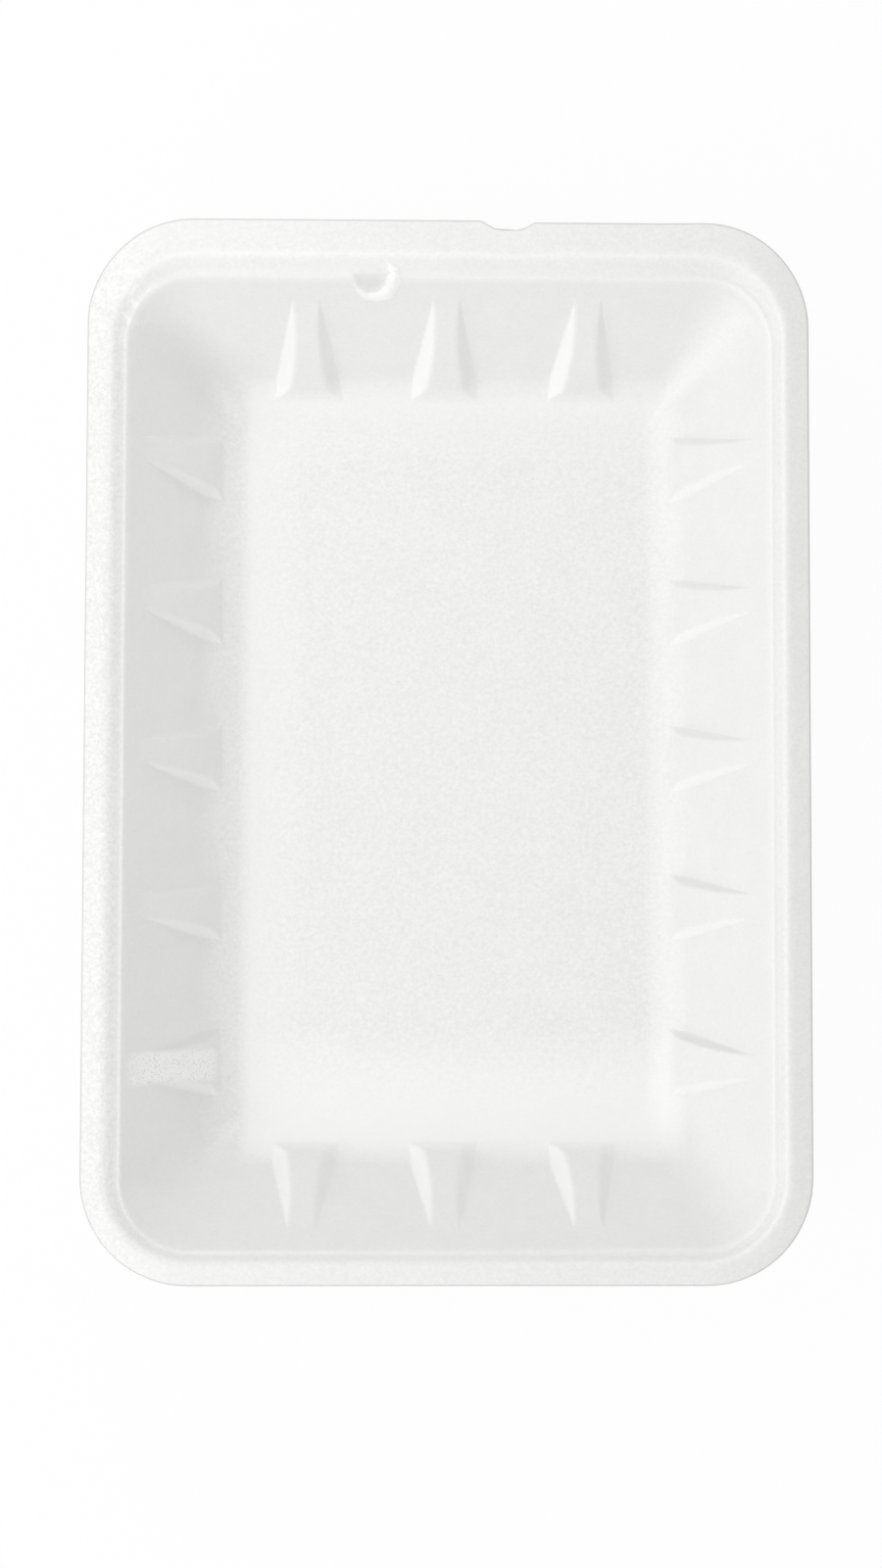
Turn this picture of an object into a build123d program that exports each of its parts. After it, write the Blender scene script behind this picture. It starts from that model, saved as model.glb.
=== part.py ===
"""Foam food tray, thermoformed in one piece from a sheet of polystyrene foam.

Millimetres, +Z up, standing on its base. The origin is under the middle of the trimmed outline,
+X runs across the tray and +Y along it.
"""

import os
from math import atan, cos, degrees, radians, sin, tan

from build123d import *

# Overall sizes of the trimmed tray and of the foam sheet
length = 220.0
width = 150.0
height = 35.0
sheet = 3.0
trim_corner = 22.0

# Rim, from the trimmed edge inwards: lip, crown, riser and ledge, with the drop and the rise
# measured from the ridge that the crown is rounded from
lip_side = 5.9
lip_end = 6.65
lip_drop = 1.3
crown_corner = 17.5
crown_shift = -0.95
crown_round_share = 0.6
step_side = 2.6
step_end = 3.15
step_rise = 3.2
ledge = 1.1

# Well: its mouth lies off the middle of the trimmed outline, and its walls lean outwards
well_shift = -2.5
mouth_corner = 14.0
wall_run_side = 16.4
wall_run_end = 18.1
floor_corner = 9.5
floor_round = 9.5

# Ribs pressed into the walls, standing proud at the foot and fading out below the mouth
side_ribs = 5
end_ribs = 3
side_rib_margin = 17.4
end_rib_margin = 20.3
side_rib_shift = 1.6
rib_proud = 3.2
rib_height = 22.5
rib_foot_width = 10.0
rib_top_width = 5.5
rib_flank_angle = 45.0
rib_bevel = 1.2

# Bite broken out of the trimmed edge at the far end
notch_place = 12.0
notch_width = 10.6
notch_depth = 1.75

# Tear under the mouth at the far end: a groove, with the foam pushed up into a bead below it
tear_place = -15.2
tear_draft_angle = 20.0
groove_length = 9.4
groove_girth = 3.4
groove_depth = 1.3
groove_below = 1.6
bead_length = 11.6
bead_girth = 3.2
bead_proud = 1.2
bead_below = 3.6
bead_slide = 1.0
bead_turn = 9.0

# Cuts run past the solid by this much
overrun = 2.0

crown_width = width - 2 * lip_side
crown_length = length - 2 * lip_end
mouth_width = crown_width - 2 * step_side
mouth_length = crown_length - 2 * step_end
floor_width = mouth_width - 2 * wall_run_side
floor_length = mouth_length - 2 * wall_run_end

# The well is off the middle of the crown, so the riser is steep at one end and shallow at the other
riser_side = step_side - ledge
riser_far = step_end - ledge + crown_shift - well_shift
riser_near = step_end - ledge - crown_shift + well_shift
lip_far = lip_end - crown_shift
lip_near = lip_end + crown_shift

# The shallow far end of the crown is its highest, so the rounding there sets the ridge's level
crown_round = crown_round_share * step_rise
inner_slope = atan(step_rise / riser_far)
outer_slope = atan(lip_drop / lip_far)
rounded_off = crown_round * (cos((inner_slope - outer_slope) / 2) / cos((inner_slope + outer_slope) / 2) - 1)
ridge_height = height + rounded_off
mouth_height = ridge_height - step_rise
wall_height = mouth_height - sheet


def spread(run, rise, offset, fall):
    """How far out a sloping wall moves when it is offset outwards and met again lower down by fall."""
    lean = atan(run / rise)
    return offset / cos(lean) - fall * tan(lean)


def rounded_outline(level, across, along, corner, shift, side=0, far=0, near=0):
    """Sketch of a rounded outline at a level, let out at its sides, its far end and its near end."""
    with BuildSketch(Plane.XY.offset(level)) as outline:
        with Locations((0, shift + (far - near) / 2)):
            RectangleRounded(across + 2 * side, along + far + near, corner + side)
    return outline.sketch


def frustum(lower_outline, upper_outline):
    """Solid between two outlines, with its straight walls as true planes."""
    sides = loft([lower_outline, upper_outline], ruled=True, mode=Mode.PRIVATE).faces()
    return Solid(Shell([Face(side.outer_wire()) if side.is_planar else side for side in sides]))


def rib_form(run, offset):
    """A rib against a wall that leans out along +X, with the foot of the wall above the origin."""
    lean = atan((run * rib_height / wall_height + rib_proud) / rib_height)
    foot = (offset / cos(lean) - rib_proud, 0, sheet)
    thinning = 2 * offset * tan(radians(rib_flank_angle) / 2)
    narrowing = (rib_foot_width - rib_top_width) / rib_height
    low, high = -offset - overrun, wall_height
    into_wall = (cos(lean), 0, -sin(lean))
    with BuildPart() as rib:
        with BuildSketch(Plane(foot, x_dir=(0, 1, 0), z_dir=into_wall)):
            with BuildLine():
                Polyline(
                    *[
                        (side * (rib_foot_width - level * narrowing - thinning) / 2, level / cos(lean))
                        for side, level in ((-1, low), (1, low), (1, high), (-1, high))
                    ],
                    close=True,
                )
            make_face()
        extrude(amount=rib_proud + sheet + overrun, taper=rib_flank_angle - 90)
        if offset == 0:
            crest = rib.faces().sort_by(Axis(foot, into_wall))[0]
            chamfer(crest.edges().sort_by(SortBy.LENGTH)[-2:], rib_bevel)
    return rib.part


def well_form(offset):
    """The space inside the well, or the same space grown by the sheet's thickness."""
    floor_side = spread(wall_run_side, wall_height, offset, offset)
    floor_end = spread(wall_run_end, wall_height, offset, offset)
    floor_size = floor_width, floor_length, floor_corner, well_shift, floor_side, floor_end, floor_end
    mouth_size = mouth_width, mouth_length, mouth_corner, well_shift, floor_side, floor_end, floor_end
    ribs = []
    for run, reach, count, margin, across, turn, slide in (
        (wall_run_side, floor_width / 2, side_ribs, side_rib_margin, floor_length, 0, side_rib_shift),
        (wall_run_end, floor_length / 2, end_ribs, end_rib_margin, floor_width, 90, 0),
    ):
        rib = rib_form(run, offset)
        pitch = (across - 2 * margin) / (count - 1)
        for side in (0, 180):
            for index in range(count):
                along = (index - (count - 1) / 2) * pitch + (slide if side == 0 else -slide)
                ribs.append(Pos(0, well_shift) * Rot(0, 0, turn + side) * Pos(reach, along) * rib)
    with BuildPart() as well:
        add(
            frustum(
                rounded_outline(sheet - offset, *floor_size),
                rounded_outline(mouth_height - offset, *mouth_size),
            )
        )
        fillet(well.edges().group_by(Axis.Z)[0], floor_round + offset)
        add(ribs, mode=Mode.SUBTRACT)
    return well.part


def formed_block(offset):
    """Everything below the tray's upper face, or below the same face set lower by the sheet's thickness."""
    crown_level = ridge_height - offset
    edge_level = ridge_height - lip_drop - offset
    below = overrun if offset else 0
    riser_spreads = [spread(run, step_rise, offset, offset) for run in (riser_side, riser_far, riser_near)]
    lip_slopes = [run / lip_drop * below for run in (lip_side, lip_far, lip_near)]
    ledge_size = mouth_width + 2 * ledge, mouth_length + 2 * ledge, mouth_corner + ledge, well_shift
    crown = rounded_outline(crown_level, crown_width, crown_length, crown_corner, crown_shift, *riser_spreads)
    well = well_form(offset)
    with BuildPart() as block:
        add(frustum(rounded_outline(edge_level - below, width, length, trim_corner, 0, *lip_slopes), crown))
        extrude(block.faces().sort_by(Axis.Z)[0], edge_level + overrun)
        step = frustum(rounded_outline(mouth_height - offset, *ledge_size, *riser_spreads), crown)
        add(step, mode=Mode.SUBTRACT)
        add(well, mode=Mode.SUBTRACT)
        if offset == 0:
            fillet(block.edges().group_by(Axis.Z)[-1], crown_round)
    return block.part


def splinter(span, girth, rise):
    """A slim pointed ridge along X that stands as far above its own plane as it reaches below."""
    with BuildPart() as ridge:
        with BuildSketch(Plane.XY.offset(-rise)):
            with BuildLine():
                Polyline((-span / 2, 0), (0, -girth / 2), (span / 2, 0), (0, girth / 2), close=True)
            make_face()
        extrude(amount=2 * rise, taper=tear_draft_angle)
    return ridge.part


def on_far_wall(place, below, turn):
    """Where the far wall lies a way below its mouth, with X along the wall and turned in it."""
    lean = atan(wall_run_end / wall_height)
    edge = well_shift + mouth_length / 2
    spot = (place, edge - below * sin(lean), mouth_height - below * cos(lean))
    return Location(spot, (90 - degrees(lean), 0, 0)) * Rot(0, 0, turn)


upper = formed_block(0)
lower = formed_block(sheet)
bead = splinter(bead_length, bead_girth, bead_proud)
groove = splinter(groove_length, groove_girth, groove_depth)

with BuildPart() as tray:
    add(upper)
    add(on_far_wall(tear_place + bead_slide, bead_below, bead_turn) * bead)
    add(on_far_wall(tear_place, groove_below, 0) * Rot(180, 0, 0) * groove, mode=Mode.SUBTRACT)
    add(lower, mode=Mode.SUBTRACT)
    with BuildSketch() as notch:
        with BuildLine(Plane((notch_place, length / 2))):
            bite = SagittaArc((-notch_width / 2, 0), (notch_width / 2, 0), -notch_depth)
            Polyline(bite @ 1, (notch_width / 2, overrun), (-notch_width / 2, overrun), bite @ 0)
        make_face()
    extrude(amount=height, mode=Mode.SUBTRACT)

tray.part.label = "tray"

os.makedirs("parts", exist_ok=True)
export_step(tray.part, "parts/tray.step")
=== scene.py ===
from math import atan, cos, radians

import bmesh
import bpy
import numpy as np
from mathutils import Matrix, Vector, noise


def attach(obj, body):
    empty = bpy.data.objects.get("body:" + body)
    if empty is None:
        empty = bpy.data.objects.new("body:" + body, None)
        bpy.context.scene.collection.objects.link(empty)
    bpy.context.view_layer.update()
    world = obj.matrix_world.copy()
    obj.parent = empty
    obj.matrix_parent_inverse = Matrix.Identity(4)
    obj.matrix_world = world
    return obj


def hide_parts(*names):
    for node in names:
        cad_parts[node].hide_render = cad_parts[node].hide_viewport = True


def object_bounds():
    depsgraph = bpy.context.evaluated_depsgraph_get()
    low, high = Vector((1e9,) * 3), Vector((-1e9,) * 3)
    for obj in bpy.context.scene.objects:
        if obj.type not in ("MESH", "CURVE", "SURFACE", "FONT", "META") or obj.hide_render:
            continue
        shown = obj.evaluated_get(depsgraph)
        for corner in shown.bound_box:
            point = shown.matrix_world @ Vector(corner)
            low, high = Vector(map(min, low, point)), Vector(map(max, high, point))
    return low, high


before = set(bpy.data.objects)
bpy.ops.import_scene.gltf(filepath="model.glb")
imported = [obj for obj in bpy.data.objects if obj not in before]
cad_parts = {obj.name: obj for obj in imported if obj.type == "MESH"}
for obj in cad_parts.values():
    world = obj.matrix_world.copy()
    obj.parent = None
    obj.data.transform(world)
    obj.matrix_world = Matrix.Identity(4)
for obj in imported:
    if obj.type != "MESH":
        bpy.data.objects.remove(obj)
cad_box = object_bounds()


# Foam tray, formed shape
# One sheet of extruded polystyrene foam, heated, drawn into a mould and cut free round its lip. Each skin is
# a band of mesh, wrapped round the tray and set ring by ring into the mould's section. In millimetres.
MM = 0.001
HALF_WIDTH, HALF_LENGTH = [round(reach / MM, 2) for reach in cad_box[1][:2]]
# The sheet's thickness, which is also the level of the base, and the height of the walls above the base
SHEET = 3.0
WALL_HEIGHT = 29.04
# Each row of a section, from the cut edge over the crown and down the wall: how far in from the cut edge
# a ring lies on the left, on the right, at the far and at the near end, its level and its corner radius,
# then the shares of the runs before and after it that its bend takes up, and the steps along run and bend
UPPER_SECTION = (
    ((0.0, 0.0, 0.0, 0.0, 33.4, 22.0), 0.0, 0.0, 0, 0),
    ((0.2, 0.2, 0.2, 0.2, 34.0, 21.8), 0.5, 0.06, 1, 3),
    ((4.8, 5.6, 7.1, 4.8, 35.2, 17.8), 0.3, 0.5, 6, 7),
    ((7.5, 7.0, 10.6, 6.3, 33.0, 15.2), 0.4, 0.5, 2, 4),
    ((8.1, 7.8, 11.6, 7.0, 33.1, 14.3), 0.5, 0.03, 1, 4),
    ((22.8, 23.3, 27.7, 22.7, 6.7, 5.5), 0.08, 0.35, 22, 6),
    ((30.1, 29.9, 36.2, 31.2, SHEET, 3.0), 0.3, 0.6, 4, 6),
    ((33.0, 33.0, 39.0, 34.0, SHEET, 2.0), 0.0, 0.0, 1, 0),
)
LOWER_SECTION = (
    ((0.0, 0.0, 0.0, 0.0, 31.1, 22.0), 0.0, 0.0, 0, 0),
    ((3.7, 3.7, 6.2, 2.8, 32.24, 19.6), 0.4, 0.4, 3, 4),
    ((4.9, 4.9, 9.0, 3.4, 30.1, 17.4), 0.4, 0.5, 1, 3),
    ((6.15, 6.15, 9.9, 4.9, 30.1, 16.1), 0.5, 0.05, 1, 3),
    ((23.15, 23.15, 28.7, 23.7, 0.0, 11.25), 0.22, 0.95, 10, 8),
    ((33.0, 33.0, 39.0, 34.0, 0.0, 2.5), 0.0, 0.0, 1, 0),
)
# The lip lies flatter at the far end than elsewhere, and steeper on the right: the axis, where the lip
# begins and how wide it is, and the lift for each millimetre, for all that lies above the lip's bottom
LIP_LIFTS = ((1, 103.0, 7.0, 0.12), (0, 69.0, 6.0, -0.06))
LIP_BOTTOM = 30.0
# Ribs on the two sides and on the two ends: their places along the wall, half their width at the foot and at
# the top, how far the foot stands proud, how steep the flanks are, how softly they turn into the crest and
# into the wall, and how much painted highlight lies on one flank and painted shade on the other, the shade
# there from the middle of the wall to its first rib
SIDE_RIBS = {
    "places": (-66.0, -32.6, -0.4, 31.6, 63.0),
    "half_widths": (7.7, 2.65),
    "proud": 2.6,
    "steepness": 1.35,
    "crest_turn": 0.4,
    "wall_turn": 0.2,
    "flank_highlight": 0.9,
    "flank_shade": (0.2, 0.8),
}
END_RIBS = {
    "places": (-30.1, -0.5, 29.3),
    "half_widths": (7.8, 2.95),
    "proud": 2.6,
    "steepness": 1.0,
    "crest_turn": 0.5,
    "wall_turn": 0.2,
    "flank_highlight": 1.3,
    "flank_shade": (0.1, 0.1),
}
# The level where all ribs fade out, the share of their climb up to which their crest is followed, and how far
# inwards of the wall's foot and above the ribs' tops the wall may be pushed
RIB_TOP = 27.0
CLIMB_SHARE = 1.2
PAST_FOOT, PAST_TOP = 12.0, 1.0
# The lower skin's ribs are narrower on each side by this share of the sheet's thickness
THINNING_SHARE = 0.35
# A flank counts in full where the wall is pushed by this much
FULL_FLANK = 0.4
# Columns of the band across a crest, down a flank and round a corner, then between two ribs and beyond the
# last rib
CREST_COLUMNS, FLANK_COLUMNS, CORNER_COLUMNS = 8, 6, 20
SIDE_GAPS, END_GAPS = (6, 3), (12, 5)
# How far the columns keep off the upper and the lower edge of a flank, half the narrowest crest, and the
# narrowest column
CREST_MARGIN, FLANK_MARGIN = 0.3, 0.2
LEAST_HALF_CREST = 1.0
LEAST_COLUMN = 0.25
# The right, far, left and near wall: the axis it faces along and its side, the place of its foot, how far it
# leans out, and its ribs and gaps
WALLS = (
    {"axis": 0, "side": 1, "foot": 50.1, "run": 16.4, "ribs": SIDE_RIBS, "gaps": SIDE_GAPS},
    {"axis": 1, "side": 1, "foot": 79.6, "run": 18.1, "ribs": END_RIBS, "gaps": END_GAPS},
    {"axis": 0, "side": -1, "foot": 50.1, "run": 16.4, "ribs": SIDE_RIBS, "gaps": SIDE_GAPS},
    {"axis": 1, "side": -1, "foot": 84.6, "run": 18.1, "ribs": END_RIBS, "gaps": END_GAPS},
)
# Painted highlight along the crown and the mouth, given by their rings and the spread in rings. It is the
# first amount everywhere, and up to the second one more towards the far end and the right.
RIDGES, RIDGE_SPREAD = (14, 27), 1.2
RIDGE_HIGHLIGHT = (0.08, 0.5)
# Painted light also lies in the corners of the well, counted from the far right: the place round the band,
# how much, and how far up from the level of the bend. The spread is in places round the band, the fade in
# rings.
FAR_RIGHT, FAR_LEFT, NEAR_LEFT, NEAR_RIGHT = 1.5, 3.5, 5.5, 7.5
CORNERS = ((FAR_RIGHT, 0.8, 28.0), (FAR_LEFT, 0.4, 4.0), (NEAR_LEFT, 0.4, 4.0), (NEAR_RIGHT, 0.6, 3.0))
CORNER_SPREAD, CORNER_FADE = 0.25, 6
BEND_LEVEL, WELL_TOP = 4.0, 31.0
# How much painted shade lies along the cut edge, on the first rings of each skin
UPPER_EDGE_SHADE = ((0, 1, 4), (0.45, 1, 0))
LOWER_EDGE_SHADE = ((0, 2), (0.45, 0))
# Points closer than this are one, and points this close to the floor's edge or to its corner belong to it
MERGE_GAP, FLOOR_GAP, CORNER_GAP = 0.001, 0.5, 0.05


def pressed_rings(section):
    """Rings down the section, each by its left, right, far and near edge, its level and its corner radius.
    Each corner of the section becomes a rounded bend."""
    cut_edge = np.array((-HALF_WIDTH, HALF_WIDTH, HALF_LENGTH, -HALF_LENGTH, 0.0, 0.0))
    inwards = np.array((1, -1, -1, 1, 1, 1))
    bends = [cut_edge + inwards * row for row, *_ in section]
    rings = [bends[0]]
    for k in range(1, len(section)):
        _, share_in, share_out, run_steps, bend_steps = section[k]
        start = bends[k] + (bends[k - 1] - bends[k]) * share_in
        last = rings[-1]
        rings += [last + (start - last) * step / run_steps for step in range(1, run_steps + 1)]
        if bend_steps:
            end = bends[k] + (bends[k + 1] - bends[k]) * share_out
            for t in np.linspace(0, 1, bend_steps + 1)[1:]:
                rings.append(start * (1 - t) ** 2 + bends[k] * 2 * t * (1 - t) + end * t**2)
    return rings


def rib_size(out, level, offset, wall):
    """How far a rib stands proud of a wall that is this far out at a level, and half its width there."""
    ribs = wall["ribs"]
    slope = wall["run"] / WALL_HEIGHT
    climb = np.clip((level - SHEET) / (RIB_TOP - SHEET), 0, CLIMB_SHARE)
    leaning = wall["foot"] + offset / cos(atan(slope)) + (level - SHEET) * slope
    crest = leaning - ribs["proud"] * (1 - climb**3)
    return out - crest, np.interp(climb, (0, 1), ribs["half_widths"]) - THINNING_SHARE * offset


def wall_shares(low, high, out, level, offset, wall):
    """Shares of a wall's length where its columns stand at a level, so that they follow the ribs' edges."""
    gap_columns, last_columns = wall["gaps"]
    proud, reach = rib_size(out, level, offset, wall)
    proud = max(proud, 0) if level < RIB_TOP else 0
    half_crest = max(reach - proud / wall["ribs"]["steepness"] - CREST_MARGIN, LEAST_HALF_CREST)
    half_foot = reach + FLANK_MARGIN
    marks, counts = [low], [last_columns]
    for spot in wall["ribs"]["places"]:
        marks += [spot - half_foot, spot - half_crest, spot + half_crest, spot + half_foot]
        counts += [FLANK_COLUMNS, CREST_COLUMNS, FLANK_COLUMNS, gap_columns]
    marks.append(high)
    counts[-1] = last_columns
    order = np.arange(len(marks)) * LEAST_COLUMN
    marks = np.clip(marks, low + order, high - order[::-1])
    columns = [np.linspace(marks[k], marks[k + 1], count, endpoint=False) for k, count in enumerate(counts)]
    return (np.concatenate([*columns, [high]]) - low) / (high - low)


def band_places(ring, offset):
    """Places round the band, counted in straights and corners from the near end of the right side."""
    left, right, far, near, level, corner = ring
    side_run, end_run = (near + corner, far - corner), (left + corner, right - corner)
    shares = [
        wall_shares(*run, out, level, offset, wall)
        for run, out, wall in zip((side_run, end_run) * 2, (right, far, -left, -near), WALLS)
    ]
    bend = np.linspace(0, 1, CORNER_COLUMNS + 1)
    runs = [shares[0], bend, 1 - shares[1][::-1], bend, 1 - shares[2][::-1], bend, shares[3], bend]
    return np.concatenate([run[:-1] + k for k, run in enumerate(runs)] + [[len(runs)]])


def outline(ring, places):
    """Points of a rounded outline at the given places."""
    left, right, far, near, level, corner = ring
    turn = np.radians(np.interp(places, range(9), [0, 0, 90, 90, 180, 180, 270, 270, 360]))
    across = np.interp(places, range(9), [1, 1, 1, 0, 0, 0, 0, 1, 1])
    along = np.interp(places, range(9), [0, 1, 1, 1, 1, 0, 0, 0, 0])
    x = left + corner + across * (right - left - 2 * corner) + corner * np.cos(turn)
    y = near + corner + along * (far - near - 2 * corner) + corner * np.sin(turn)
    return np.stack([x, y, np.full_like(x, level)], 1)


def soft_max(value, blend):
    """The value where it is above nothing, and nothing elsewhere, with a soft turn between."""
    share = np.clip(0.5 + 0.5 * value / blend, 0, 1)
    return value * share + blend * share * (1 - share) / 2


def press_ribs(points, offset):
    """Pushes the wall inwards where the ribs are, the lower skin's ribs the sheet's thickness behind.
    Returns the light painted on their flanks: painted highlight, above nothing, on the left and near flanks,
    and painted shade, below nothing, on the others."""
    flank_light = np.zeros(len(points))
    for wall in WALLS:
        axis, side, ribs = wall["axis"], wall["side"], wall["ribs"]
        out = points[:, axis] * side
        proud, reach = rib_size(out, points[:, 2], offset, wall)
        beyond = (out < wall["foot"] - PAST_FOOT) | (points[:, 2] > RIB_TOP + PAST_TOP)
        for spot in ribs["places"]:
            along = points[:, 1 - axis] - spot
            over = proud - ribs["steepness"] * (reach - np.abs(along))
            push = soft_max(proud - soft_max(over, ribs["crest_turn"]), ribs["wall_turn"])
            push[beyond] = 0
            points[:, axis] -= side * push
            off_crest = np.clip(over / ribs["crest_turn"] * 0.5 + 0.5, 0, 1)
            flank = np.clip(push / FULL_FLANK, 0, 1) * off_crest
            flank_shade = np.interp(spot / ribs["places"][0], (0, 1), ribs["flank_shade"])
            # Painted highlight on the left and near flanks, which face the lights, and painted shade on the
            # others
            flank_light += np.where(along < 0, ribs["flank_highlight"], -flank_shade) * flank
    return flank_light


def press_skin(name, section, offset, ridges, corners, shade_rings):
    """One skin of the tray: a band of mesh pressed into the section, with its floor filled in.
    Painted highlight and shade are marked on the ribs' flanks, painted highlight over ridges and in corners,
    and painted shade along the cut edge."""
    rings = pressed_rings(section)
    band = [band_places(ring, offset) for ring in rings]
    columns = len(band[0])
    places = np.concatenate(band)
    points = np.concatenate([outline(ring, row) for ring, row in zip(rings, band)])
    ring_index = np.repeat(np.arange(len(rings)), columns)
    painted_light = press_ribs(points, offset)
    x, y, level = points.T
    far_or_right = np.clip(np.maximum(x / HALF_WIDTH, y / HALF_LENGTH), 0, 1)
    # Painted highlight along the crown and the mouth
    for ridge in ridges:
        nearness = np.exp(-(((ring_index - ridge) / RIDGE_SPREAD) ** 2))
        painted_light += (RIDGE_HIGHLIGHT[0] + RIDGE_HIGHLIGHT[1] * far_or_right) * nearness
    # Painted light in the corners of the well
    inside = np.clip((len(rings) - 1 - ring_index) / CORNER_FADE, 0, 1) * (level < WELL_TOP)
    for middle, amount, height in corners:
        nearness = np.exp(-(((places - middle) / CORNER_SPREAD) ** 2))
        painted_light += amount * inside * nearness * np.exp(-(((level - BEND_LEVEL) / height) ** 2))
    lift = sum(rise * np.clip(points[:, axis] - start, 0, width) for axis, start, width, rise in LIP_LIFTS)
    points[:, 2] += lift * (level > LIP_BOTTOM)
    bpy.ops.object.select_all(action="DESELECT")
    bpy.ops.mesh.primitive_grid_add(x_subdivisions=columns - 1, y_subdivisions=len(rings) - 1)
    skin = bpy.context.object
    skin.name = name
    skin.data.vertices.foreach_set("co", (points * MM).ravel())
    # The painted light, with painted shade below nothing, and the painted shade of the cut edge go to the
    # material
    for kind, amounts in (("painted_light", painted_light), ("painted_shade", np.interp(ring_index, *shade_rings))):
        skin.data.attributes.new(kind, "FLOAT", "POINT").data.foreach_set("value", amounts)
    skin.data.update()
    bpy.ops.object.mode_set(mode="EDIT")
    bpy.ops.mesh.select_all(action="SELECT")
    bpy.ops.mesh.remove_doubles(threshold=MERGE_GAP * MM)
    bpy.ops.mesh.select_all(action="DESELECT")
    bpy.ops.mesh.select_mode(type="EDGE")
    # The floor is filled from the middle of its far right corner
    work = bmesh.from_edit_mesh(skin.data)
    floor_level = rings[-1][4] * MM
    corner_spot = Vector(outline(rings[-1], np.array([FAR_RIGHT]))[0]) * MM
    for edge in work.edges:
        if edge.is_boundary and abs(edge.verts[0].co.z - floor_level) < FLOOR_GAP * MM:
            edge.select = True
            for vert in edge.verts:
                if (vert.co - corner_spot).length < CORNER_GAP * MM:
                    corner = vert
    work.select_history.clear()
    work.select_history.add(corner)
    bmesh.update_edit_mesh(skin.data)
    rib_count = len(END_RIBS["places"])
    rib_columns = CREST_COLUMNS + 2 * FLANK_COLUMNS
    end_columns = rib_count * rib_columns + (rib_count - 1) * END_GAPS[0] + 2 * END_GAPS[1]
    bpy.ops.mesh.fill_grid(span=end_columns + CORNER_COLUMNS)
    bpy.ops.object.mode_set(mode="OBJECT")
    return skin


upper = press_skin("foam_tray", UPPER_SECTION, 0.0, RIDGES, CORNERS, UPPER_EDGE_SHADE)
lower = press_skin("lower_skin", LOWER_SECTION, SHEET, (), (), LOWER_EDGE_SHADE)
bpy.ops.object.select_all(action="DESELECT")
lower.select_set(True)
upper.select_set(True)
bpy.context.view_layer.objects.active = upper
bpy.ops.object.join()
tray = bpy.context.object

# The two skins meet at the cut edge
bpy.ops.object.mode_set(mode="EDIT")
bpy.ops.mesh.select_all(action="DESELECT")
work = bmesh.from_edit_mesh(tray.data)
for edge in work.edges:
    edge.select = edge.is_boundary
bmesh.update_edit_mesh(tray.data)
bpy.ops.mesh.bridge_edge_loops(number_cuts=1)
bpy.ops.mesh.select_all(action="SELECT")
bpy.ops.mesh.normals_make_consistent(inside=False)


# Foam tray, damage at the far end
# A bite is broken out of the cut edge. Under the mouth, the foam was scooped and pushed up into a curl.
# The mesh is made finer at both places and pushed into shape.
FINE_CUTS = 3
# Edges that turn by more than this, in degrees, stay sharp
SHARP_EDGE = 45
BITE_AREA = ((4.5, 19.5), (105.0, 111.0))
TEAR_AREA = ((-23.0, -7.0), (91.5, 105.0))
# Faces of the upper skin look up at least this much
LOOKING_UP = 0.1
# Places along the edge with the depth of the bite, and its roughness: lumps for each millimetre, and a share
BITE = (
    (6.3, 0.0), (7.0, 0.2), (8.1, 0.9), (9.5, 1.62), (10.5, 1.76), (12.0, 1.82),
    (14.0, 1.74), (15.0, 1.5), (16.1, 1.0), (17.2, 0.3), (17.8, 0.0),
)
BITE_LUMPS, BITE_ROUGH_SHARE = 0.9, 0.06
# Right of the bite the edge lies further in: how far, where that begins and how sharply, where it has
# ended and over which length it fades
SAG, SAG_START, SAG_SHARPNESS, SAG_END, SAG_FADE = 0.35, 14.0, 1.2, 70.0, 25.0
# The part of the lip that both pull with them: from here, in full after this width, and right of this place
LIP_START, LIP_WIDTH, LIP_LEFT = 101.0, 8.0, -30.0
# Lower edge of the scoop, with the height and the width of the curl beyond it
CURL = (
    (-20.0, 98.0, 0.1, 0.4), (-18.9, 96.6, 0.4, 0.7), (-17.0, 95.8, 0.7, 1.1),
    (-15.0, 96.0, 0.9, 1.5), (-13.4, 97.0, 1.1, 2.4), (-12.5, 98.3, 1.0, 2.5),
    (-12.3, 99.3, 0.8, 1.9), (-12.7, 100.3, 0.5, 1.0), (-13.2, 101.4, 0.1, 0.3),
)
CURL_POINTS = 200
# The curl starts at a share of its height, rises across its width, and falls off over the last share of it
CURL_GAIN, CURL_START_SHARE, CURL_FALL_SHARE = 0.8, 0.4, 0.5
# The scoop's depth and the width over which it gets there, its two ends, its far edge and how that fades
SCOOP_DEPTH, SCOOP_RUN = 0.45, 0.8
SCOOP_ENDS, SCOOP_FAR, SCOOP_FADE = (-20.0, -12.3), 99.3, 1.0
# The roughness of the tear: lumps for each millimetre, and a share
TEAR_LUMPS, TEAR_ROUGH_SHARE = 1.7, 0.25
# How much painted highlight the curl gets for each millimetre that it is raised, at most, and how much
# painted shade the scoop gets where it is sunk
CURL_HIGHLIGHT, CURL_HIGHLIGHT_MOST, SCOOP_SHADE = 6.0, 1.6, 0.45
OUT_OF_FAR_WALL = Vector((0.0, -0.55, 0.83))


def lies_in(spot, area):
    """Whether a spot lies in an area, seen from above."""
    (left, right), (near, far) = area
    return left < spot.x < right and near < spot.y < far


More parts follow.
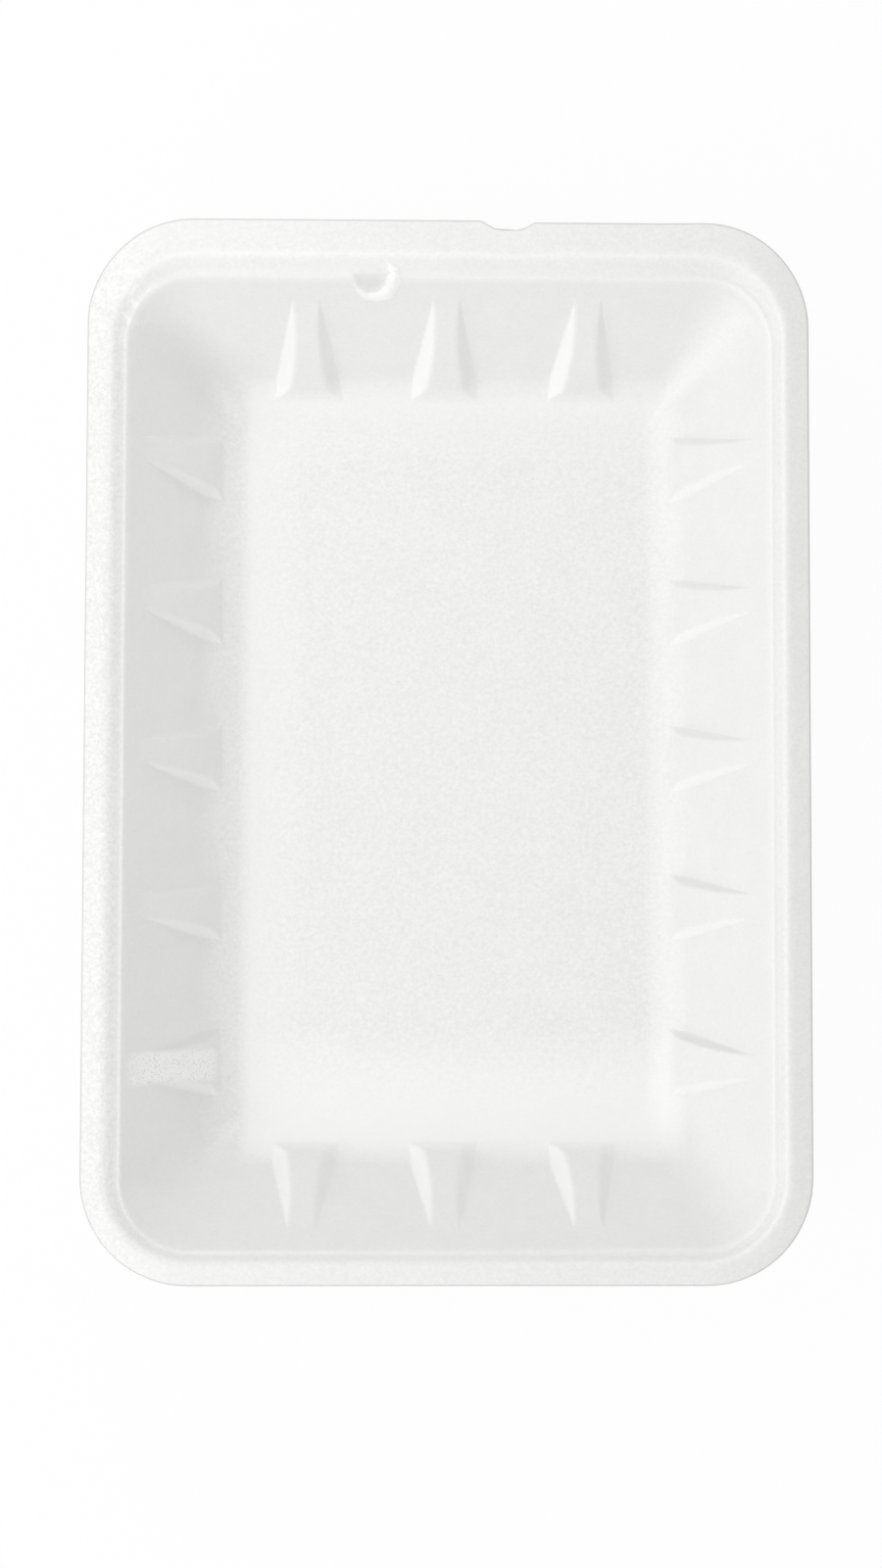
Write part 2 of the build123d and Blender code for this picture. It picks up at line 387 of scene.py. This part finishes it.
bpy.ops.mesh.select_mode(type="FACE")
bpy.ops.mesh.select_all(action="DESELECT")
work = bmesh.from_edit_mesh(tray.data)
for face in work.faces:
    middle = face.calc_center_median() / MM
    torn = lies_in(middle, TEAR_AREA) and face.normal.z > LOOKING_UP
    face.select = torn or lies_in(middle, BITE_AREA)
bmesh.update_edit_mesh(tray.data)
bpy.ops.mesh.subdivide(number_cuts=FINE_CUTS, ngon=False)
work = bmesh.from_edit_mesh(tray.data)
painted_light_layer = work.verts.layers.float["painted_light"]
painted_shade_layer = work.verts.layers.float["painted_shade"]
walk = np.linspace(0, len(CURL) - 1, CURL_POINTS)
curl = np.stack([np.interp(walk, range(len(CURL)), values) for values in zip(*CURL)], 1)
ahead = np.gradient(curl[:, :2], axis=0)
for vert in work.verts:
    x, y, z = vert.co / MM
    if y > LIP_START and x > LIP_LEFT:
        rough = noise.noise(Vector((x, z, 0.0)) * BITE_LUMPS)
        bite = np.interp(x, *zip(*BITE)) * (1 + BITE_ROUGH_SHARE * rough)
        sag = SAG / (1 + np.exp(-(x - SAG_START) * SAG_SHARPNESS)) * np.clip((SAG_END - x) / SAG_FADE, 0, 1)
        vert.co.y -= (bite + sag) * np.clip((y - LIP_START) / LIP_WIDTH, 0, 1) * MM
    if vert.select and x < 0:
        gaps = np.hypot(*(curl[:, :2] - (x, y)).T)
        k = gaps.argmin()
        gap, height, width = gaps[k], curl[k, 2], curl[k, 3]
        outside = ahead[k, 1] * (x - curl[k, 0]) - ahead[k, 0] * (y - curl[k, 1]) > 0
        rough = noise.noise(Vector((x, y, 0.0)) * TEAR_LUMPS)
        raised = sunk = 0.0
        if outside and gap < width:
            across = gap / width
            raised = CURL_GAIN * height * (CURL_START_SHARE + across) * min((1 - across) / CURL_FALL_SHARE, 1)
        elif not outside and SCOOP_ENDS[0] < x < SCOOP_ENDS[1]:
            sunk = SCOOP_DEPTH * min(gap / SCOOP_RUN, 1) * np.clip((SCOOP_FAR - y) / SCOOP_FADE, 0, 1)
        vert.co += OUT_OF_FAR_WALL * (raised - sunk) * (1 + TEAR_ROUGH_SHARE * rough) * MM
        # The curl is marked with painted highlight, and the scoop with painted shade
        vert[painted_light_layer] = max(vert[painted_light_layer], min(raised * CURL_HIGHLIGHT, CURL_HIGHLIGHT_MOST))
        vert[painted_shade_layer] = max(vert[painted_shade_layer], sunk * SCOOP_SHADE)
bmesh.update_edit_mesh(tray.data)
bpy.ops.mesh.select_all(action="SELECT")
bpy.ops.mesh.normals_make_consistent(inside=False)
bpy.ops.object.mode_set(mode="OBJECT")
bpy.ops.object.shade_smooth_by_angle(angle=radians(SHARP_EDGE))


# Foam tray, material
# Extruded polystyrene foam, thermoformed: a white closed-cell foam whose skin was ironed by the mould.
# To the eye it is a soft, slightly translucent white with a fine grain and a faint satin sheen.
# The cells lie in clusters of about 0.8 mm. Open cells are finer than 0.5 mm, drawn that coarse to show.
CLUSTER, OPEN_CELL = 0.8, 0.5
# Blotches of the scuffs on the rim, and soft clouds where the sheet's density varies
BLOTCH, CLOUD = 4.0, 8.0
# The height of the grain, and how far light goes into the foam
GRAIN_RELIEF, LIGHT_REACH = 0.3, 0.8
SKIN_GREY, SKIN_WHITE = "#DFDFDE", "#FDFDFC"
# White of the painted highlight, and greys of the painted shade on the ribs' flanks, on the cut edge and in
# the scoop
PAINTED_HIGHLIGHT_WHITE, FLANK_SHADE_GREY, PAINTED_SHADE_GREY = "#FFFFFE", "#D4D4D3", "#C4C4C2"
# The open cells' grey, and the white of their glitter, painted in as glints
OPEN_CELL_GREY, OPEN_CELL_GLINT_WHITE = "#ECECEB", "#FFFFFF"
# Levels between which the rim begins, the grain of the base gives way to the smooth wall, and the bend ends
RIM_LEVELS, SMOOTH_LEVELS, BEND_LEVELS = (31.5, 34.0), (4.0, 8.0), (4.5, 7.5)
# Places across the tray between which the painted glints on the left of the rim fade
GLINT_PLACES = (-70.0, -60.0)
# The frosted rib on the left wall, across and along the tray: from, to, and the softness of the two ends
FROSTED_ACROSS, FROSTED_ALONG = (-65.5, -49.2, 0.8), (-69.7, -63.2, 0.6)
# The scuffed far left corner of the rim: its middle, its reach and how strong it is
SCUFF_MIDDLE, SCUFF_REACH, SCUFF_GAIN = (-70.0, 93.0, 34.5), (10.0, 12.0, 10.0), 1.6
# The middle of the base, which keeps its colour, and how far across the painted light round it reaches, and
# how much
BASE_ACROSS, BASE_ALONG = (-39.0, 52.0, 9.0), (-68.0, 74.0, 10.0)
BEND_ACROSS, BEND_HIGHLIGHT = (-43.5, 60.0, 1.5), 0.75


def linear(code):
    """Linear colour of an sRGB hex value."""
    channels = [int(code[k : k + 2], 16) / 255 for k in (1, 3, 5)]
    return [*[c / 12.92 if c <= 0.04045 else ((c + 0.055) / 1.055) ** 2.4 for c in channels], 1.0]


def add_node(tree, kind, settings=None, inputs=None):
    """Adds a node with its settings, and with values or links at its inputs."""
    node = tree.nodes.new(kind)
    for name, value in (settings or {}).items():
        setattr(node, name, value)
    for name, value in (inputs or {}).items():
        if isinstance(value, bpy.types.NodeSocket):
            tree.links.new(value, node.inputs[name])
        else:
            node.inputs[name].default_value = value
    return node


foam = bpy.data.materials.new("extruded_polystyrene_foam")
foam.use_nodes = True
tree = foam.node_tree
tree.nodes.clear()
place = add_node(tree, "ShaderNodeTexCoord").outputs["Object"]
axes = add_node(tree, "ShaderNodeSeparateXYZ", None, {0: place}).outputs


def patch(middle, reach, gain):
    """A soft-edged place on the tray, given in millimetres."""
    middle, reach = [[size * MM for size in sizes] for sizes in (middle, reach)]
    there = add_node(
        tree,
        "ShaderNodeMapping",
        {"vector_type": "TEXTURE"},
        {"Vector": place, "Location": middle, "Scale": reach},
    ).outputs[0]
    fade = add_node(tree, "ShaderNodeTexGradient", {"gradient_type": "SPHERICAL"}, {0: there}).outputs["Fac"]
    return add_node(
        tree, "ShaderNodeMath", {"operation": "MULTIPLY", "use_clamp": True}, {0: fade, 1: gain}
    ).outputs[0]


def between(value, low, high, soft):
    """One between two places along an axis, given in millimetres, and nothing beyond them."""
    middle, half = (low + high) / 2 * MM, (high - low) / 2 * MM
    away = add_node(tree, "ShaderNodeMath", {"operation": "SUBTRACT"}, {0: value, 1: middle}).outputs[0]
    away = add_node(tree, "ShaderNodeMath", {"operation": "ABSOLUTE"}, {0: away}).outputs[0]
    edges = {"Value": away, "From Min": half + soft * MM, "From Max": half - soft * MM}
    return add_node(tree, "ShaderNodeMapRange", None, edges).outputs["Result"]


grain = add_node(
    tree,
    "ShaderNodeTexNoise",
    None,
    {"Vector": place, "Scale": 1 / (CLUSTER * MM), "Detail": 5.0, "Roughness": 0.85},
).outputs["Fac"]
bump = add_node(
    tree, "ShaderNodeBump", None, {"Strength": 0.35, "Distance": GRAIN_RELIEF * MM, "Height": grain}
).outputs["Normal"]
# The walls were drawn smooth. The base keeps more of the grain, and so does the rim. On the rim's left the
# speckle is stronger still, as painted glints where the light from the left catches it.
drawn_smooth = add_node(
    tree,
    "ShaderNodeMapRange",
    None,
    {
        "Value": axes["Z"],
        "From Min": SMOOTH_LEVELS[0] * MM,
        "From Max": SMOOTH_LEVELS[1] * MM,
        "To Min": 0.6,
        "To Max": 0.25,
    },
).outputs["Result"]
rim = add_node(
    tree,
    "ShaderNodeMapRange",
    None,
    {"Value": axes["Z"], "From Min": RIM_LEVELS[0] * MM, "From Max": RIM_LEVELS[1] * MM},
).outputs["Result"]
rim_grain_and_glints = add_node(
    tree,
    "ShaderNodeMapRange",
    None,
    {
        "Value": axes["X"],
        "From Min": GLINT_PLACES[0] * MM,
        "From Max": GLINT_PLACES[1] * MM,
        "To Min": 1.0,
        "To Max": 0.45,
    },
).outputs["Result"]
rim_grain_and_glints = add_node(tree, "ShaderNodeMath", {"operation": "MULTIPLY"}, {0: rim, 1: rim_grain_and_glints}).outputs[0]
grain_and_glints = add_node(tree, "ShaderNodeMath", {"operation": "MAXIMUM"}, {0: drawn_smooth, 1: rim_grain_and_glints}).outputs[0]
speckle = add_node(
    tree, "ShaderNodeMapRange", None, {"Value": grain, "From Min": 0.3, "From Max": 0.7}
).outputs["Result"]
speckle = add_node(tree, "ShaderNodeMix", None, {0: grain_and_glints, 2: 0.5, 3: speckle}).outputs[0]
cloud = add_node(
    tree, "ShaderNodeTexNoise", None, {"Vector": place, "Scale": 1 / (CLOUD * MM), "Detail": 2.0}
).outputs["Fac"]
speckle = add_node(
    tree, "ShaderNodeMath", {"operation": "MULTIPLY_ADD", "use_clamp": True}, {0: cloud, 1: 0.15, 2: speckle}
).outputs[0]
# The foam is whiter with painted light on the ribs' left and near flanks, over the crown and the mouth, in
# the well's corners and on the curl, unevenly with its grain, and where the rim is scuffed
painted_light = add_node(tree, "ShaderNodeAttribute", {"attribute_name": "painted_light"}).outputs["Fac"]
flank_shade = add_node(
    tree, "ShaderNodeMath", {"operation": "MULTIPLY", "use_clamp": True}, {0: painted_light, 1: -0.4}
).outputs[0]
uneven = add_node(
    tree,
    "ShaderNodeMapRange",
    None,
    {"Value": grain, "From Min": 0.35, "From Max": 0.65, "To Min": 0.6, "To Max": 1.2},
).outputs["Result"]
painted_light = add_node(
    tree, "ShaderNodeMath", {"operation": "MULTIPLY", "use_clamp": True}, {0: painted_light, 1: uneven}
).outputs[0]
blotch = add_node(
    tree,
    "ShaderNodeTexNoise",
    None,
    {"Vector": place, "Scale": 1 / (BLOTCH * MM), "Detail": 3.0, "Distortion": 1.5},
).outputs["Fac"]
blotch = add_node(
    tree, "ShaderNodeMapRange", None, {"Value": blotch, "From Min": 0.50, "From Max": 0.64}
).outputs["Result"]
scuffed = patch(SCUFF_MIDDLE, SCUFF_REACH, SCUFF_GAIN)
scuffs = add_node(tree, "ShaderNodeMath", {"operation": "MULTIPLY"}, {0: scuffed, 1: blotch}).outputs[0]
whiter = add_node(tree, "ShaderNodeMath", {"operation": "MAXIMUM"}, {0: painted_light, 1: scuffs}).outputs[0]
# Painted light round the bend into the base makes it whiter there too, most at the two ends
base = add_node(
    tree,
    "ShaderNodeMath",
    {"operation": "MULTIPLY"},
    {0: between(axes["X"], *BASE_ACROSS), 1: between(axes["Y"], *BASE_ALONG)},
).outputs[0]
off_base = add_node(tree, "ShaderNodeMath", {"operation": "SUBTRACT"}, {0: 1.0, 1: base}).outputs[0]
low = add_node(
    tree,
    "ShaderNodeMapRange",
    None,
    {
        "Value": axes["Z"],
        "From Min": BEND_LEVELS[0] * MM,
        "From Max": BEND_LEVELS[1] * MM,
        "To Min": BEND_HIGHLIGHT,
        "To Max": 0.0,
    },
).outputs["Result"]
bend_highlight = add_node(tree, "ShaderNodeMath", {"operation": "MULTIPLY"}, {0: low, 1: off_base}).outputs[0]
bend_highlight = add_node(
    tree, "ShaderNodeMath", {"operation": "MULTIPLY"}, {0: bend_highlight, 1: between(axes["X"], *BEND_ACROSS)}
).outputs[0]
whiter = add_node(tree, "ShaderNodeMath", {"operation": "MAXIMUM"}, {0: whiter, 1: bend_highlight}).outputs[0]
# On the frosted rib the skin is rubbed off, and the glitter of its open cells is painted in as white specks
frosted = add_node(
    tree,
    "ShaderNodeMath",
    {"operation": "MULTIPLY"},
    {0: between(axes["X"], *FROSTED_ACROSS), 1: between(axes["Y"], *FROSTED_ALONG)},
).outputs[0]
cells = add_node(
    tree, "ShaderNodeTexNoise", None, {"Vector": place, "Scale": 1 / (OPEN_CELL * MM), "Detail": 1.0}
).outputs["Fac"]
cells = add_node(
    tree, "ShaderNodeMapRange", None, {"Value": cells, "From Min": 0.36, "From Max": 0.46}
).outputs["Result"]
painted_glitter = add_node(
    tree,
    "ShaderNodeMix",
    {"data_type": "RGBA"},
    {0: cells, 6: linear(OPEN_CELL_GREY), 7: linear(OPEN_CELL_GLINT_WHITE)},
).outputs[2]
painted_shade = add_node(tree, "ShaderNodeAttribute", {"attribute_name": "painted_shade"}).outputs["Fac"]
colour = add_node(
    tree, "ShaderNodeMix", {"data_type": "RGBA"}, {0: speckle, 6: linear(SKIN_GREY), 7: linear(SKIN_WHITE)}
).outputs[2]
for share, shade in (
    (whiter, linear(PAINTED_HIGHLIGHT_WHITE)),
    (flank_shade, linear(FLANK_SHADE_GREY)),
    (frosted, painted_glitter),
    (painted_shade, linear(PAINTED_SHADE_GREY)),
):
    colour = add_node(
        tree, "ShaderNodeMix", {"data_type": "RGBA"}, {0: share, 6: colour, 7: shade}
    ).outputs[2]
shader = add_node(
    tree,
    "ShaderNodeBsdfPrincipled",
    None,
    {
        "Base Color": colour,
        "Roughness": 0.45,
        "IOR": 1.5,
        "Subsurface Weight": 0.2,
        "Subsurface Radius": (1.0, 1.0, 1.0),
        "Subsurface Scale": LIGHT_REACH * MM,
        "Normal": bump,
    },
)
add_node(tree, "ShaderNodeOutputMaterial", None, {"Surface": shader.outputs[0]})
tray.data.materials.clear()
tray.data.materials.append(foam)
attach(tray, "root")
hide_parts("tray")


# Stage
# A plain white table top in a bright room, with soft lights at the far end, on the left and at the near left.
# The camera sees the table top almost pure white, with a faint shadow under the tray. In metres.
TABLE_SIZE = 8.0
TABLE_DROP = 0.2 * MM
TABLE_WHITE, GLOW_SHARE = "#F6F6F6", 0.93
ROOM_LIGHT = 0.76
# Each light's place, its width and its power in watts
LIGHTS = (
    ("far_light", (-0.10, 0.25, 0.24), 0.12, 0.14),
    ("left_light", (-0.20, 0.0, 0.24), 0.12, 0.05),
    ("near_left_light", (-0.36, -0.36, 0.42), 0.25, 0.87),
)
LIT_SPOT = Vector((0, 0, 0.02))
bpy.ops.object.select_all(action="DESELECT")
bpy.ops.mesh.primitive_plane_add(size=TABLE_SIZE, location=(0, 0, -TABLE_DROP))
table = bpy.context.object
table.name = "table_top"
paper = bpy.data.materials.new("white_table_top")
paper.use_nodes = True
tree = paper.node_tree
tree.nodes.clear()
ray = add_node(tree, "ShaderNodeLightPath").outputs
seen = ray["Is Camera Ray"]
for kind in ("Is Glossy Ray", "Is Transmission Ray"):
    seen = add_node(tree, "ShaderNodeMath", {"operation": "MAXIMUM"}, {0: seen, 1: ray[kind]}).outputs[0]
share = add_node(tree, "ShaderNodeMath", {"operation": "MULTIPLY"}, {0: seen, 1: GLOW_SHARE})
matt = add_node(tree, "ShaderNodeBsdfDiffuse", None, {"Color": linear(TABLE_WHITE)})
glow = add_node(tree, "ShaderNodeEmission", None, {"Color": (1, 1, 1, 1), "Strength": 1.0})
mixed = add_node(
    tree, "ShaderNodeMixShader", None, {0: share.outputs[0], 1: matt.outputs[0], 2: glow.outputs[0]}
)
add_node(tree, "ShaderNodeOutputMaterial", None, {"Surface": mixed.outputs[0]})
table.data.materials.append(paper)

room = bpy.data.worlds.new("studio")
room.use_nodes = True
bpy.context.scene.world = room
tree = room.node_tree
tree.nodes.clear()
ray = add_node(tree, "ShaderNodeLightPath").outputs
around = add_node(tree, "ShaderNodeBackground", None, {"Color": (1, 1, 1, 1), "Strength": ROOM_LIGHT})
behind = add_node(tree, "ShaderNodeBackground", None, {"Color": (1, 1, 1, 1), "Strength": 1.0})
mixed = add_node(
    tree, "ShaderNodeMixShader", None, {0: ray["Is Camera Ray"], 1: around.outputs[0], 2: behind.outputs[0]}
)
add_node(tree, "ShaderNodeOutputWorld", None, {"Surface": mixed.outputs[0]})

for name, spot, size, power in LIGHTS:
    lamp = bpy.data.lights.new(name, "AREA")
    lamp.shape = "DISK"
    lamp.size = size
    lamp.energy = power
    holder = bpy.data.objects.new(name, lamp)
    bpy.context.scene.collection.objects.link(holder)
    holder.location = spot
    holder.rotation_euler = (LIT_SPOT - holder.location).to_track_quat("-Z", "Y").to_euler()
    holder.visible_camera = False


# Camera
# High above the tray and a little off its middle to the near left, so that the far and the right wall show
# wider. Its place is in metres, and its turns are in radians.
SENSOR, FOCAL_LENGTH = 36.0, 60.0
CAMERA_PLACE = (-0.011248, -0.037788, 0.570740)
CAMERA_TURNS = ((-0.00209, "Z"), (-0.05628, "X"), (0.01815, "Y"))
lens = bpy.data.cameras.new("camera")
lens.sensor_width = SENSOR
lens.lens = FOCAL_LENGTH
camera = bpy.data.objects.new("camera", lens)
bpy.context.scene.collection.objects.link(camera)
camera.location = CAMERA_PLACE
turn = Matrix.Identity(3)
for angle, axis in CAMERA_TURNS:
    turn = turn @ Matrix.Rotation(angle, 3, axis)
camera.rotation_euler = turn.transposed().to_euler()
bpy.context.scene.camera = camera
bpy.context.scene.view_settings.view_transform = "Standard"
